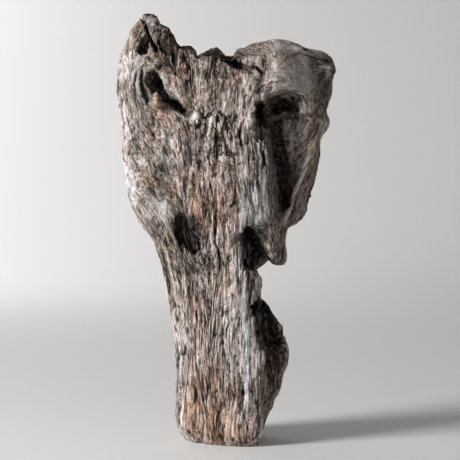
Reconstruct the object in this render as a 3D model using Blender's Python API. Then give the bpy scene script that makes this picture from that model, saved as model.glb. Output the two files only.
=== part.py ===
"""A weathered piece of driftwood that stands on its cut lower end.

It is one piece of wood. A trunk stands in front, with a broad face that widens upwards to a split peak.
A wing, a fin and a heel grow out of its right flank. Rot has left a deep socket and a slot between the
trunk and the wing, a notch behind the fin, and a hollow over the heel.
Sizes are in millimetres, x to the right, y to the back and z up from the resting end.
"""

import bmesh
import bpy
import numpy as np
from mathutils import Matrix, Vector, noise

MM = 0.001

HEIGHT = 439.5  # the size that everything else is drawn to

# Outlines of the four masses: (z, value) pairs for the left and right edges seen from the front, for the
# foremost and rearmost depth, and for the front ridge, how far forward it stands, and the dip beside it.
TRUNK = {
    "left": ((-8, -34), (2, -37), (12, -44), (46, -46), (99, -48), (125, -50), (149, -53), (174, -59),
             (207, -72), (224, -81), (240, -90), (259, -95), (290, -98), (331, -102), (373, -107),
             (389, -105), (406, -99), (418, -94), (431, -87), (443, -82), (451, -79)),
    "right": ((-8, 34), (3, 39), (29, 43), (99, 43), (139, 39), (150, 40), (162, 42), (172, 39),
              (184, 33), (191, 30), (217, 30), (223, 42), (229, 50), (259, 52), (299, 51), (329, 48),
              (354, 48), (400, 52), (451, 40)),
    "front": ((-8, -36), (4, -41), (50, -44), (150, -42), (230, -46), (300, -48), (350, -46), (400, -40),
              (451, -30)),
    "back": ((-8, 38), (50, 43), (150, 40), (230, 43), (300, 42), (360, 38), (400, 32), (451, 16)),
    "ridge": ((0, 0.80), (150, 0.82), (225, 0.88), (260, 0.94), (340, 0.94), (451, 0.80)),
    "span": (-8, 451),
}
WING = {
    "left": ((172, 18), (226, 20), (451, 10)),
    "right": ((172, 36), (176, 40), (180, 46), (186, 52), (206, 58), (214, 62), (220, 69),
              (224, 80), (232, 88.5), (247, 93), (268, 99), (287, 102.5), (300, 104.5), (311, 104),
              (321, 108), (329, 111), (336, 108.5), (344, 109), (355, 114.5), (376, 117), (382, 119.5),
              (390, 119), (400, 114), (451, 96)),
    "front": ((172, 12), (184, 8), (206, 4), (216, -6), (226, -26), (250, -25), (300, -20), (322, -20),
              (338, -32), (358, -43), (382, -43), (396, -37), (451, -18)),
    "back": ((172, 22), (184, 28), (226, 38), (300, 44), (360, 48), (400, 42), (451, 22)),
    "ridge": ((172, 0.80), (226, 0.70), (265, 0.77), (300, 0.85), (330, 0.88), (360, 0.86), (451, 0.80)),
    "edge": ((172, -0.94), (300, -0.94), (330, -0.80), (355, -0.55), (451, -0.45)),
    "dip": ((172, -0.9), (226, -0.9), (250, -0.55), (320, -0.45), (345, -0.84), (451, -0.86)),
    "span": (172, 451),
}
FIN = {
    "left": ((181, 54), (186, 51), (200, 43), (212, 36), (226, 29), (252, 34)),
    "right": ((181, 65), (186, 68.5), (192, 69), (206, 65), (214, 66), (222, 68), (252, 56)),
    "front": ((181, -18), (186, -30), (200, -36), (224, -42), (252, -38)),
    "back": ((181, 8), (186, 16), (200, 22), (252, 20)),
    "ridge": ((181, 0.5), (200, 0.55), (252, 0.6)),
    "edge": ((181, -0.94), (252, -0.94)),
    "dip": ((181, -0.9), (252, -0.9)),
    "span": (181, 252),
}
HEEL = {
    "left": ((-8, -20), (152, 0)),
    "right": ((-8, 34), (3, 41), (15, 46.5), (31, 54), (42, 57.5), (51, 62), (67, 66), (81, 71), (94, 71),
              (104, 67), (113, 64), (123, 59), (130, 54.5), (139, 51), (144, 46), (152, 40)),
    "front": ((-8, -12), (15, -22), (42, -28), (76, -28), (92, -22), (104, -11), (118, 0), (136, 7),
              (152, 11)),
    "back": ((-8, 32), (50, 42), (100, 47), (140, 42), (152, 32)),
    "ridge": ((-8, 0.84), (152, 0.84)),
    "edge": ((-8, -0.7), (152, -0.7)),
    "dip": ((-8, -1.0), (152, -1.0)),
    "span": (-8, 152),
}

LIMBS = {"wing": WING, "fin": FIN, "heel": HEEL}

# Cross-section of each mass, round from its left edge by way of the front: (share of the width, share of
# the depth from -1 at the front to 1 at the back). A name stands for a share that changes with height.
TRUNK_SECTION = ((0.0, 0.15), (0.10, -0.36), (0.36, -0.74), (0.62, -0.92), ("ridge", -1.0), (0.985, -0.94),
                 (1.0, -0.60), (0.97, 0.35), (0.72, 0.95), (0.35, 1.0), (0.08, 0.72))
LIMB_SECTION = ((0.0, 0.0), (0.12, -0.90), (0.50, "dip"), ("ridge", "edge"), (1.0, 0.05), (0.86, 0.78),
                (0.45, 1.0), (0.10, 0.70))

# The broken top: (x, z) of its rim from left to right, seen from the front.
RIM = ((-110, 446), (-70, 446), (-66, 442), (-61, 432), (-56, 428), (-52, 426), (-47, 415), (-43, 406),
       (-37, 407), (-31, 406), (-27, 403), (-23, 395), (-19, 398), (-10, 401), (-1, 401), (4, 397),
       (10, 396), (17, 402), (30, 408), (43, 412), (64, 415), (80, 412), (91, 405), (97, 401), (108, 398.5),
       (116, 395), (124, 390))
RIM_CELL = 3.0
CLEARED = 32.0  # height over the rim that is cut away

# How that rim changes with depth. Each pair is where a change starts and where it ends.
PEAK_SIDE = (-48.0, -36.0)  # x where the peak gives way to the low middle
PEAK_BACK = (4.0, 26.0)  # y where the peak falls away towards the back
PEAK_FOOT = 402.0
SHOULDER_SIDE = (8.0, 36.0)  # x where the low middle gives way to the shoulder
SHOULDER_FRONT = (-44.0, 4.0)
SHOULDER_FALL = 19.0  # how far the shoulder's top slopes down to its front edge
MIDDLE_FRONT, MIDDLE_BACK = (-40.0, -10.0), (10.0, 40.0)
MIDDLE_FALLS = (6.0, 12.0)  # how far the low middle falls to the front and to the back

LUMPS = 0.45  # unevenness of the swellings and hollows, as a share of their thickness
VOXEL = 2.0
TRIANGLES = 11700


def keyed(keys, at):
    """Smooth value at `at` of hand-set (position, value) pairs, level beyond the two ends."""
    where, value = np.array(keys, float).T
    slope = np.gradient(value, where)
    at = np.clip(at, where[0], where[-1])
    i = np.clip(np.searchsorted(where, at, side="right") - 1, 0, len(where) - 2)
    width = where[i + 1] - where[i]
    t = (at - where[i]) / width
    return (
        value[i] * (1 + 2 * t) * (1 - t) ** 2
        + slope[i] * width * t * (1 - t) ** 2
        + value[i + 1] * t**2 * (3 - 2 * t)
        + slope[i + 1] * width * t**2 * (t - 1)
    )


def smooth_step(low, high, value):
    t = np.clip((value - low) / (high - low), 0, 1)
    return t * t * (3 - 2 * t)


def round_loop(points, per_span=4):
    """A closed smooth curve through the points."""
    points = np.array(points, float)
    before, after, next_after = (np.roll(points, n, axis=0) for n in (1, -1, -2))
    loop = []
    for t in np.arange(per_span) / per_span:
        loop.append(
            0.5
            * (
                2 * points
                + (after - before) * t
                + (2 * before - 5 * points + 4 * after - next_after) * t**2
                + (3 * points - before - 3 * after + next_after) * t**3
            )
        )
    return np.stack(loop, axis=1).reshape(-1, 2)


def new_object(name, mesh):
    thing = bpy.data.objects.new(name, mesh)
    bpy.context.scene.collection.objects.link(thing)
    return thing


def mass(name, outline, section, step=4.0):
    """A solid drawn by its outlines, with the same kind of cross-section all the way up."""
    bm = bmesh.new()
    low, high = outline["span"]
    rings = []
    for z in np.linspace(low, high, int((high - low) / step) + 1):
        at = {side: keyed(keys, z) for side, keys in outline.items() if side != "span"}
        shares = [(at.get(across, across), at.get(deep, deep)) for across, deep in section]
        middle, half = (at["front"] + at["back"]) / 2, (at["back"] - at["front"]) / 2
        width = at["right"] - at["left"]
        loop = round_loop([(at["left"] + width * across, middle + half * deep) for across, deep in shares])
        rings.append([bm.verts.new((x * MM, y * MM, z * MM)) for x, y in loop])
    for below, above in zip(rings, rings[1:]):
        for i in range(len(below)):
            j = (i + 1) % len(below)
            bm.faces.new((below[i], below[j], above[j], above[i]))
    bm.faces.new(rings[0][::-1])
    bm.faces.new(rings[-1])
    bmesh.ops.recalc_face_normals(bm, faces=bm.faces)
    mesh = bpy.data.meshes.new(name)
    bm.to_mesh(mesh)
    bm.free()
    return new_object(name, mesh)


def pod(name, start, end, wide, deep, taper=1.0):
    """A lumpy egg from start to end, `wide` across and `deep` along y, and wider by `taper` at its end."""
    start, end = Vector(start) * MM, Vector(end) * MM
    along = end - start
    length = along.length
    bm = bmesh.new()
    bmesh.ops.create_icosphere(bm, subdivisions=4, radius=1.0)
    for v in bm.verts:
        lump = 1 + LUMPS * (noise.noise(v.co * 1.3 + start * 100) + 0.5 * noise.noise(v.co * 3.5 + end * 100))
        thick = MM * lump * (1 + (taper - 1) * (v.co.z + 1) / 2)
        v.co = Vector((v.co.x * wide * thick, v.co.y * deep * thick, v.co.z * length / 2))
    up = along.normalized()
    side = Vector((0, 1, 0)).cross(up).normalized()
    turn = Matrix((side, up.cross(side), up)).transposed()
    bmesh.ops.transform(bm, matrix=Matrix.Translation((start + end) / 2) @ turn.to_4x4(), verts=bm.verts)
    bmesh.ops.recalc_face_normals(bm, faces=bm.faces)
    mesh = bpy.data.meshes.new(name)
    bm.to_mesh(mesh)
    bm.free()
    return new_object(name, mesh)


def swellings():
    """Small masses that stand proud of the big ones."""
    return [
        pod("neck_lump", (36, 4, 150), (36, 4, 172), 8, 18),
        pod("pale_knob", (34, -26, 116), (36, -26, 132), 6, 9),
        pod("rim_corner", (106, -6, 364), (108, -2, 398), 11, 20),
        pod("edge_lump", (101, 4, 320), (103, 6, 338), 9, 14),
        pod("knot_lip", (-64, -36, 340), (-57, -36, 360), 7, 8),
    ]


def hollows():
    """What rot and waves have taken out, most of it from the front."""
    return [
        pod("socket", (72, -36, 308), (65, -24, 359), 22, 36),
        pod("socket_roof", (84, -32, 334), (54, -28, 352), 10, 34),
        pod("socket_left", (42, -50, 310), (52, -48, 346), 9, 22),
        pod("slot", (57, -24, 340), (67, -14, 231), 10, 36, 0.7),
        pod("notch", (26, -44, 228), (38, -40, 176), 3.2, 23, 3.2),
        pod("heel_hollow", (46, -6, 152), (60, -14, 92), 15, 36, 0.9),
        pod("face_pit", (-42, -40, 238), (-24, -42, 190), 11, 18),
        pod("pit_tail", (-30, -44, 212), (-18, -46, 172), 7, 9),
        pod("knot_hole", (-70, -30, 380), (-61, -30, 355), 9, 20),
        pod("knot_slit", (-70, -36, 370), (-26, -44, 331), 6, 22),
        pod("prong_hollow", (-78, -28, 416), (-80, -28, 392), 6, 14),
        pod("crown_cleft", (-2, -40, 394), (40, -46, 374), 3, 16),
        pod("back_groove", (10, 46, 60), (-10, 48, 330), 13, 14),
        pod("back_pit", (58, 52, 290), (66, 52, 350), 14, 16),
        pod("left_flute", (-80, 46, 180), (-98, 42, 370), 8, 14),
        pod("left_hollow", (-108, 0, 262), (-116, -4, 330), 9, 22),
        pod("peak_split", (-99, -16, 476), (-60, -30, 392), 3.8, 44, 0.9),
        pod("rim_split", (-22, -10, 418), (-24, -10, 386), 4, 60, 0.4),
    ]


def rim_height(x, y):
    """Height of the broken top: a peak in front at the left, and a shoulder that slopes forward."""
    rim = keyed(RIM, x)
    peak = 1 - smooth_step(*PEAK_SIDE, x)
    shoulder = smooth_step(*SHOULDER_SIDE, x)
    middle = (1 - peak) * (1 - shoulder)
    to_front, to_back = MIDDLE_FALLS
    rim -= peak * smooth_step(*PEAK_BACK, y) * (rim - PEAK_FOOT)
    rim -= shoulder * SHOULDER_FALL * (1 - smooth_step(*SHOULDER_FRONT, y))
    rim -= middle * to_front * (1 - smooth_step(*MIDDLE_FRONT, y))
    rim -= middle * to_back * smooth_step(*MIDDLE_BACK, y)
    flat = np.stack([x, y, np.zeros_like(x)], axis=-1)
    torn = noise_at(flat, 9, 1, 3.7) * (3.6 - 2.8 * shoulder) + noise_at(flat, 22, 1, 8.1) * 2.5
    return np.minimum(rim + torn * smooth_step(-60, -45, x), HEIGHT)


def above_the_rim():
    """Everything over the broken top, as a solid to cut away."""
    x, y = np.meshgrid(np.arange(-128, 137, RIM_CELL), np.arange(-76, 80, RIM_CELL), indexing="ij")
    z = rim_height(x.ravel(), y.ravel()).reshape(x.shape)
    bm = bmesh.new()
    rows = [
        [[bm.verts.new(Vector(p) * MM) for p in zip(x[i], y[i], level[i])] for i in range(len(x))]
        for level in (z, np.full_like(z, HEIGHT + CLEARED))
    ]
    for rows_at, flip in zip(rows, (True, False)):
        for a, b in zip(rows_at, rows_at[1:]):
            for i in range(len(a) - 1):
                corners = (a[i], b[i], b[i + 1], a[i + 1])
                bm.faces.new(corners[::-1] if flip else corners)
    low, high = rows
    for side in (
        lambda r: r[0],
        lambda r: r[-1],
        lambda r: [row[0] for row in r],
        lambda r: [row[-1] for row in r],
    ):
        foot, head = side(low), side(high)
        for i in range(len(foot) - 1):
            bm.faces.new((foot[i], foot[i + 1], head[i + 1], head[i]))
    bmesh.ops.recalc_face_normals(bm, faces=bm.faces)
    mesh = bpy.data.meshes.new("above_the_rim")
    bm.to_mesh(mesh)
    bm.free()
    return new_object("above_the_rim", mesh)


def combine(body, others, operation):
    """One Boolean on a collection of solids, applied, with the solids then removed."""
    tools = bpy.data.collections.new(operation)
    bpy.context.scene.collection.children.link(tools)
    for other in others:
        bpy.context.scene.collection.objects.unlink(other)
        tools.objects.link(other)
    modifier = body.modifiers.new(operation, "BOOLEAN")
    modifier.operation = operation
    modifier.operand_type = "COLLECTION"
    modifier.collection = tools
    modifier.solver = "EXACT"
    apply_modifiers(body)
    for other in others:
        bpy.data.objects.remove(other)
    bpy.data.collections.remove(tools)


def apply_modifiers(thing):
    graph = bpy.context.evaluated_depsgraph_get()
    mesh = bpy.data.meshes.new_from_object(thing.evaluated_get(graph))
    thing.modifiers.clear()
    thing.data = mesh


def even_skin(body):
    """Equal small faces all over, so that the surface can be worked like clay."""
    remesh = body.modifiers.new("even_skin", "REMESH")
    remesh.mode = "VOXEL"
    remesh.voxel_size = VOXEL * MM
    apply_modifiers(body)


def points_of(mesh):
    """(points, normals) of a mesh, in millimetres."""
    points, normals = (np.empty(len(mesh.vertices) * 3) for _ in range(2))
    mesh.vertices.foreach_get("co", points)
    mesh.vertices.foreach_get("normal", normals)
    return points.reshape(-1, 3) / MM, normals.reshape(-1, 3)


def set_points(mesh, points):
    mesh.vertices.foreach_set("co", (points * MM).ravel())
    mesh.update()


def noise_at(points, size, stretch=1.0, offset=0.0):
    """Smooth noise from -1 to 1 with lumps of `size`, drawn out along the grain by `stretch`."""
    scaled = points / (size, size, size * stretch) + offset
    return np.array([noise.noise(Vector(p)) for p in scaled])


def weather(points, normals):
    """Low swells, then the ridges and furrows of the grain, which run up the trunk."""
    swell = 2.0 * noise_at(points, 40, 1.4) + 1.5 * noise_at(points, 15, 2.0, 5.1)
    bent = points + np.outer(noise_at(points, 24, 1.5, 9.3), (7, 7, 0))
    furrow = np.abs(noise_at(bent, 10, 4.5, 2.2))
    cracks = np.maximum(0, 1 - 7 * furrow) * smooth_step(-0.2, 0.2, noise_at(points, 36, 1.5, 1.4))
    flakes = np.maximum(0, noise_at(bent, 8, 5.5, 6.6))
    end = smooth_step(0.45, 0.8, np.abs(normals[:, 2]))
    worn = smooth_step(48, 66, points[:, 0])
    grain = (2.0 * flakes - 2.8 * cracks) * (1 - 0.7 * worn)
    rough = 1.6 * noise_at(points, 8, 1, 7.7) * (1 - 0.7 * worn)
    return points + normals * (swell + grain * (1 - end) + rough * end)[:, None]


def sculpt(body):
    points, normals = points_of(body.data)
    set_points(body.data, weather(points, normals))


def thin_out(body):
    """Fewer and larger faces where the wood is plain."""
    decimate = body.modifiers.new("thin_out", "DECIMATE")
    count = sum(len(face.vertices) - 2 for face in body.data.polygons)
    decimate.ratio = TRIANGLES / count
    decimate.use_collapse_triangulate = True
    apply_modifiers(body)


def cut_resting_end(body):
    """The flat end that it stands on, cut through everything below z = 0."""
    bm = bmesh.new()
    bm.from_mesh(body.data)
    everything = bm.verts[:] + bm.edges[:] + bm.faces[:]
    down = (0, 0, -1)
    cut = bmesh.ops.bisect_plane(bm, geom=everything, plane_co=(0, 0, 0), plane_no=down, clear_outer=True)
    rim = [e for e in cut["geom_cut"] if isinstance(e, bmesh.types.BMEdge)]
    bmesh.ops.triangle_fill(bm, edges=rim, use_dissolve=False, use_beauty=True)
    bmesh.ops.recalc_face_normals(bm, faces=bm.faces)
    bm.to_mesh(body.data)
    bm.free()


def silver_wood():
    material = bpy.data.materials.new("weathered_wood")
    material.use_nodes = True
    shader = material.node_tree.nodes["Principled BSDF"]
    shader.inputs["Base Color"].default_value = (0.30, 0.25, 0.215, 1)
    shader.inputs["Roughness"].default_value = 0.85
    shader.inputs["Metallic"].default_value = 0.0
    return material


def main():
    for thing in list(bpy.data.objects):
        bpy.data.objects.remove(thing)
    body = mass("driftwood", TRUNK, TRUNK_SECTION)
    limbs = [mass(name, outline, LIMB_SECTION) for name, outline in LIMBS.items()]
    combine(body, limbs + swellings(), "UNION")
    combine(body, hollows() + [above_the_rim()], "DIFFERENCE")
    even_skin(body)
    sculpt(body)
    thin_out(body)
    cut_resting_end(body)
    body.data.materials.append(silver_wood())


main()
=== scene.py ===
"""The looks of a piece of driftwood: sun-silvered, sea-worn wood with open grain, cracks, knots and rot."""

import math
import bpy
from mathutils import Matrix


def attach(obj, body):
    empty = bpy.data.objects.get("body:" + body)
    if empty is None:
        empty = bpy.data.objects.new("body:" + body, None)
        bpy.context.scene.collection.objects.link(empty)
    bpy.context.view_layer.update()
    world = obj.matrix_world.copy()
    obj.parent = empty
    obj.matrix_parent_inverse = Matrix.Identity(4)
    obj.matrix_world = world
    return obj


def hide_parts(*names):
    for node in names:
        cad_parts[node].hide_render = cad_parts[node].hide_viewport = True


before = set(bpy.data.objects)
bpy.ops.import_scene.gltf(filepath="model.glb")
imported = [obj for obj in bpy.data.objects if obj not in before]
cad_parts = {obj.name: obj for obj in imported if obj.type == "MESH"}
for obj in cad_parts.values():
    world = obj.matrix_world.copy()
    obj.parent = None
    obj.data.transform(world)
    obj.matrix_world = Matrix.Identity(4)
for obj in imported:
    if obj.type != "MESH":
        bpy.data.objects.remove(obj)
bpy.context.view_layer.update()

from types import SimpleNamespace

import bmesh
import bpy
import numpy as np
from mathutils import Vector
from mathutils.bvhtree import BVHTree

MM = 0.001

# The photograph's view: the camera's place in metres, how far it looks down, and its lens in millimetres.
CAMERA_AT = Vector((0.0103, -1.309, 0.260))
CAMERA_DROP = math.atan(41 / 1266)
CAMERA_LENS = 99.1

VOXEL = 1.0  # millimetres, the width of the faces that the relief is worked on
MAIN_TRIANGLES = 196000  # what is left of them afterwards
RAYS = 26  # directions in which each point looks for wood that shuts it in
RAY_REACH = 0.07  # metres
FLAT_END = 0.8  # millimetres, below which the wood belongs to the end that it stands on

# Places on the front face, (x, z) in millimetres.
SOCKET = (66, 334)
KNOT = (-66, 364)
PIT = (-32, 214)


# Noise and shaping, on arrays of points in millimetres

def smooth_step(low, high, value):
    t = np.clip((value - low) / (high - low), 0, 1)
    return t * t * (3 - 2 * t)


def bump(value, middle, half_width):
    """1 at the middle, falling smoothly to 0."""
    return np.exp(-(((value - middle) / half_width) ** 2))


def blob(points, centre, radii, turn=0.0):
    """1 at a place on the front face, falling off as an ellipse turned by degrees."""
    x, z = points[:, 0] - centre[0], points[:, 2] - centre[1]
    c, s = math.cos(math.radians(turn)), math.sin(math.radians(turn))
    return np.exp(-(((x * c + z * s) / radii[0]) ** 2) - ((-x * s + z * c) / radii[1]) ** 2)


def lattice(cells, seed):
    """A repeatable random number from -1 to 1 for each whole-number cell."""
    a = cells.astype(np.int64).astype(np.uint64)
    mixed = a[..., 0] * np.uint64(73856093) ^ a[..., 1] * np.uint64(19349663)
    mixed ^= a[..., 2] * np.uint64(83492791)
    mixed ^= np.uint64(seed * 2654435761)
    mixed = (mixed ^ (mixed >> np.uint64(15))) * np.uint64(2246822519)
    mixed = (mixed ^ (mixed >> np.uint64(13))) * np.uint64(3266489917)
    mixed ^= mixed >> np.uint64(16)
    return (mixed & np.uint64(0xFFFFFF)).astype(float) / 0x7FFFFF - 1


def noise_at(points, size, seed=0):
    """Smooth noise from about -1 to 1, with lumps of `size`, one number or one for each axis."""
    scaled = points / np.asarray(size, float)
    cell = np.floor(scaled)
    t = scaled - cell
    t = t * t * (3 - 2 * t)
    total = 0
    for corner in np.ndindex(2, 2, 2):
        weight = np.prod(np.where(corner, t, 1 - t), axis=-1)
        total = total + weight * lattice(cell + corner, seed)
    return total * 1.6


def wander(points, sizes, seeds):
    """Shifts to the side and upwards, as two noises."""
    aside, upwards = (noise_at(points, size, seed) for size, seed in zip(sizes, seeds))
    return np.stack([aside, np.zeros(len(points)), upwards], axis=1)


def cells_at(points, size, seed=0, jitter=0.8):
    """(distance to the nearest crack between cells, in cells, and a random number for each cell)."""
    scaled = points / np.asarray(size, float)
    cell = np.floor(scaled)
    nearest = np.full(len(points), 9.0)
    second = nearest.copy()
    own = np.zeros(len(points))
    for step in np.ndindex(3, 3, 3):
        at = cell + np.array(step) - 1
        seat = at + 0.5 + 0.5 * jitter * np.stack([lattice(at, seed + k) for k in (1, 2, 3)], axis=-1)
        away = np.linalg.norm(seat - scaled, axis=-1)
        closer = away < nearest
        second = np.where(closer, nearest, np.minimum(second, away))
        own = np.where(closer, lattice(at, seed + 4), own)
        nearest = np.where(closer, away, nearest)
    return second - nearest, own


# The run of the grain

HEIGHTS = np.arange(-20.0, 480.0)
WING_LEAN = 0.42  # dx/dz of the fibres of the wing
HEEL_LEAN = 0.25  # and of those over the heel, the other way


def lobe_lean(z):
    """How far the fibres lean, as dx/dz, along the left edge."""
    return -0.14 - 0.42 * bump(z, 214, 38) + 0.55 * smooth_step(385, 430, z)


def swirls(points):
    """(share, angle) of each place where the grain leaves its plain run up the wood."""
    x, z = points[:, 0], points[:, 2]
    rows = []
    for centre, near, far, strength in ((SOCKET, 24, 62, 3.0), (KNOT, 12, 34, 4.0)):
        dx, dz = x - centre[0], z - centre[1]
        r = np.hypot(dx, dz)
        share = strength * smooth_step(near * 0.4, near, r) * (1 - smooth_step(near, far, r))
        rows.append((share, np.arctan2(dz, dx) + math.pi / 2))
    shelf = smooth_step(60, 80, x) * smooth_step(368, 385, z)
    drift = (1 - smooth_step(-62, -30, x)) * smooth_step(222, 250, z) * (1 - smooth_step(318, 345, z))
    cross = blob(points, (-45, 352), (14, 26), 20)
    for share, degrees in ((3.0 * shelf, 172), (1.3 * drift, 138), (3.0 * cross, 125)):
        rows.append((share, np.full(len(points), math.radians(degrees))))
    return rows


def plain_lean(points):
    """How far the fibres lean, as dx/dz, at each point."""
    x, z = points[:, 0], points[:, 2]
    lean = lobe_lean(z) * (1 - smooth_step(-90, 5, x))
    lean += WING_LEAN * smooth_step(54, 66, x) * smooth_step(215, 240, z)
    return lean - HEEL_LEAN * smooth_step(45, 60, x) * (1 - smooth_step(90, 140, z))


def grain_direction(points):
    """Unit vectors along the fibres, which lie in planes parallel to the front face."""
    parts = [(1.0, np.arctan2(1, plain_lean(points)))] + swirls(points)
    double_c = sum(share * np.cos(2 * angle) for share, angle in parts)
    double_s = sum(share * np.sin(2 * angle) for share, angle in parts)
    angle = 0.5 * np.arctan2(double_s, double_c) + 0.16 * noise_at(points, (16, 16, 30), 91)
    return np.stack([np.cos(angle), np.zeros(len(points)), np.sin(angle)], axis=-1)


def grain_places(points):
    """Where each point lies in the plain grain, where in the swirl there, and that swirl's share.

    A place is (across, depth, along) in millimetres, so noise drawn out along its last number follows the
    fibres.
    """
    x, y, z = points.T
    drift = np.interp(z, HEIGHTS, np.cumsum(lobe_lean(HEIGHTS)))
    across = x - (1 - smooth_step(-90, 5, x)) * (drift - drift.mean())
    across -= WING_LEAN * smooth_step(54, 66, x) * smooth_step(215, 240, z) * (z - 300)
    across += HEEL_LEAN * smooth_step(45, 60, x) * (1 - smooth_step(90, 140, z)) * (z - 60)
    plain = np.stack([across, y, z], axis=-1)

    rows = swirls(points)
    shares = np.array([share for share, angle in rows])
    strongest = shares.argmax(axis=0)
    lead = np.sort(shares, axis=0)
    clear = smooth_step(0, 0.3, lead[-1] - lead[-2])
    share = smooth_step(0.5, 1.5, lead[-1]) * clear
    swirl = plain.copy()
    for k, centre in enumerate((SOCKET, KNOT)):
        dx, dz = x - centre[0], z - centre[1]
        ring = np.stack([np.hypot(dx, dz), y, 30 * np.abs(np.arctan2(dx, dz))], axis=-1)
        swirl = np.where((strongest == k)[:, None], ring, swirl)
    for k in range(2, len(rows)):
        angle = rows[k][1]
        c, s = np.cos(angle), np.sin(angle)
        straight = np.stack([x * s - z * c, y, x * c + z * s], axis=-1)
        swirl = np.where((strongest == k)[:, None], straight, swirl)
    return plain, swirl, share


def strands(points, size, half_length, seed):
    """Noise drawn out along the grain: the mean of fine noise on a walk both ways along the fibres."""
    step = 0.9 * size
    count = int(round(half_length / step))
    total = noise_at(points, size, seed)
    share = 1.0
    start = grain_direction(points)
    for way in (1, -1):
        at, along = points, start * way
        for k in range(1, count + 1):
            if k % 2 == 0:
                ahead = grain_direction(at)
                along = ahead * np.where((ahead * along).sum(1) < 0, -1, 1)[:, None]
            at = at + along * step
            weight = 0.5 + 0.5 * math.cos(math.pi * k / (count + 1))
            total = total + weight * noise_at(at, size, seed)
            share += weight
    total /= share
    return total / (total.std() + 1e-9)


# The relief of the surface

HOLLOWS = [
    # (places on the front face, half widths at its two ends, y of its floor)
    ([(59, 344), (70, 341)], (10, 8.5), 2),  # socket
    ([(57, 342), (65, 348), (72, 346)], (5, 5), 16),  # its deepest part
    ([(42, 341), (44, 328)], (7, 6), -20),  # dimple beside it
    ([(57, 328), (61, 300), (64, 274), (67, 256), (69, 244)], (6.5, 3), 14),  # slot
    ([(-36, 229), (-31, 214), (-25, 203)], (5.5, 8), -24),  # pit
    ([(-64, 370), (-60, 365)], (4, 4), 0),  # knot hole
    ([(-62, 361), (-53, 349), (-36, 339)], (4.5, 2.5), -8),  # slanting slit
    ([(-76, 413), (-79, 400)], (3.5, 5.5), -9),  # foot of the peak's split
    ([(-82, 440), (-77, 424), (-66, 403)], (2.0, 1.8), -2),  # the split itself
    ([(-3, 391), (17, 385), (35, 381), (42, 376)], (1.0, 1.8), -32),  # cleft under the crown
    ([(40, 140), (46, 124), (55, 103)], (9.5, 12), 20),  # hollow over the heel
    ([(-52, 352), (-44, 350)], (3, 2), -32),  # above the slit
    ([(26.5, 221), (30.8, 205), (37, 189)], (1.2, 11), 8),  # notch
]

FILLS = [
    # (places on the front face, half width, (x, y) at the left and the right of the new face there)
    ([(70, 326), (80, 322)], 9, (68, -2), (90, -17)),  # socket's right rim
    ([(85, 354), (84, 338)], 5, (78, -20), (90, -26)),  # the same rim, higher
    ([(-74, 376), (-70, 375)], 4, (-78, -24), (-66, -18)),  # beside the knot hole
]

# The split in the peak: its line, and how far its walls draw together at each height.
SPLIT_LINE = [(-60, 392), (-99, 476)]
SPLIT_CLOSED = [(396, 0.0), (406, 0.35), (420, 0.6), (436, 0.78)]

# Edges on the front face: where the shoulder's top begins, and the tan edge that the wing turns away at.
SHOULDER_EDGE = [(36, 391), (56, 397), (98, 396), (118, 389)]
WING_EDGE = [(108, 336), (103, 321), (89, 285), (72, 240), (64, 216)]


def beyond_the_edge(points):
    """How far each point lies to the right of the wing's edge."""
    xs, zs = zip(*reversed(WING_EDGE))
    return points[:, 0] - np.interp(points[:, 2], zs, xs)


def press(points, normals):
    """The points of the front face with its hollows sunk, and its planes, shoulder and split sharpened."""
    x, z = points[:, 0], points[:, 2]
    moved = points.copy()
    ahead = 1 - smooth_step(0.0, 0.4, normals[:, 1])
    bent = points + 1.6 * wander(points, (6, 6), (21, 22))
    ragged = 1 + 0.22 * noise_at(points, 5, 24)
    for line, half_width, (left, left_y), (right, right_y) in FILLS:
        share = 1 - smooth_step(0.6, 1.3, line_distance(bent, line)[0] / half_width)
        face = np.interp(x, [left, right], [left_y, right_y])
        moved[:, 1] -= share * ahead * np.maximum(0, moved[:, 1] - face)
    for line, (first, last), floor in HOLLOWS:
        away, along = line_distance(bent, line)
        half_width = (first + (last - first) * along) * ragged
        share = 1 - smooth_step(0.66, 1.14, away / half_width)
        moved[:, 1] += share * ahead * np.maximum(0, floor + 2.5 * noise_at(points, 8, 23) - moved[:, 1])
    peak_side = smooth_step(-72, -46, x) * (1 - smooth_step(-44, -38, x)) * smooth_step(368, 384, z)
    moved[:, 1] += 8 * peak_side * ahead
    wing_side = smooth_step(0, 18, beyond_the_edge(points)) * smooth_step(210, 222, z)
    moved[:, 1] += 10 * wing_side * (1 - smooth_step(312, 334, z)) * ahead
    shoulder = smooth_step(0, 1.6, z - np.interp(x, *zip(*SHOULDER_EDGE))) * smooth_step(38, 60, x)
    moved[:, 1] += 2.6 * shoulder * ahead
    from_split = x - np.interp(z, *zip(*[(place[1], place[0]) for place in SPLIT_LINE]))
    moved[:, 0] -= from_split * np.interp(z, *zip(*SPLIT_CLOSED)) * bump(from_split, 0, 9)
    return moved


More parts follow.
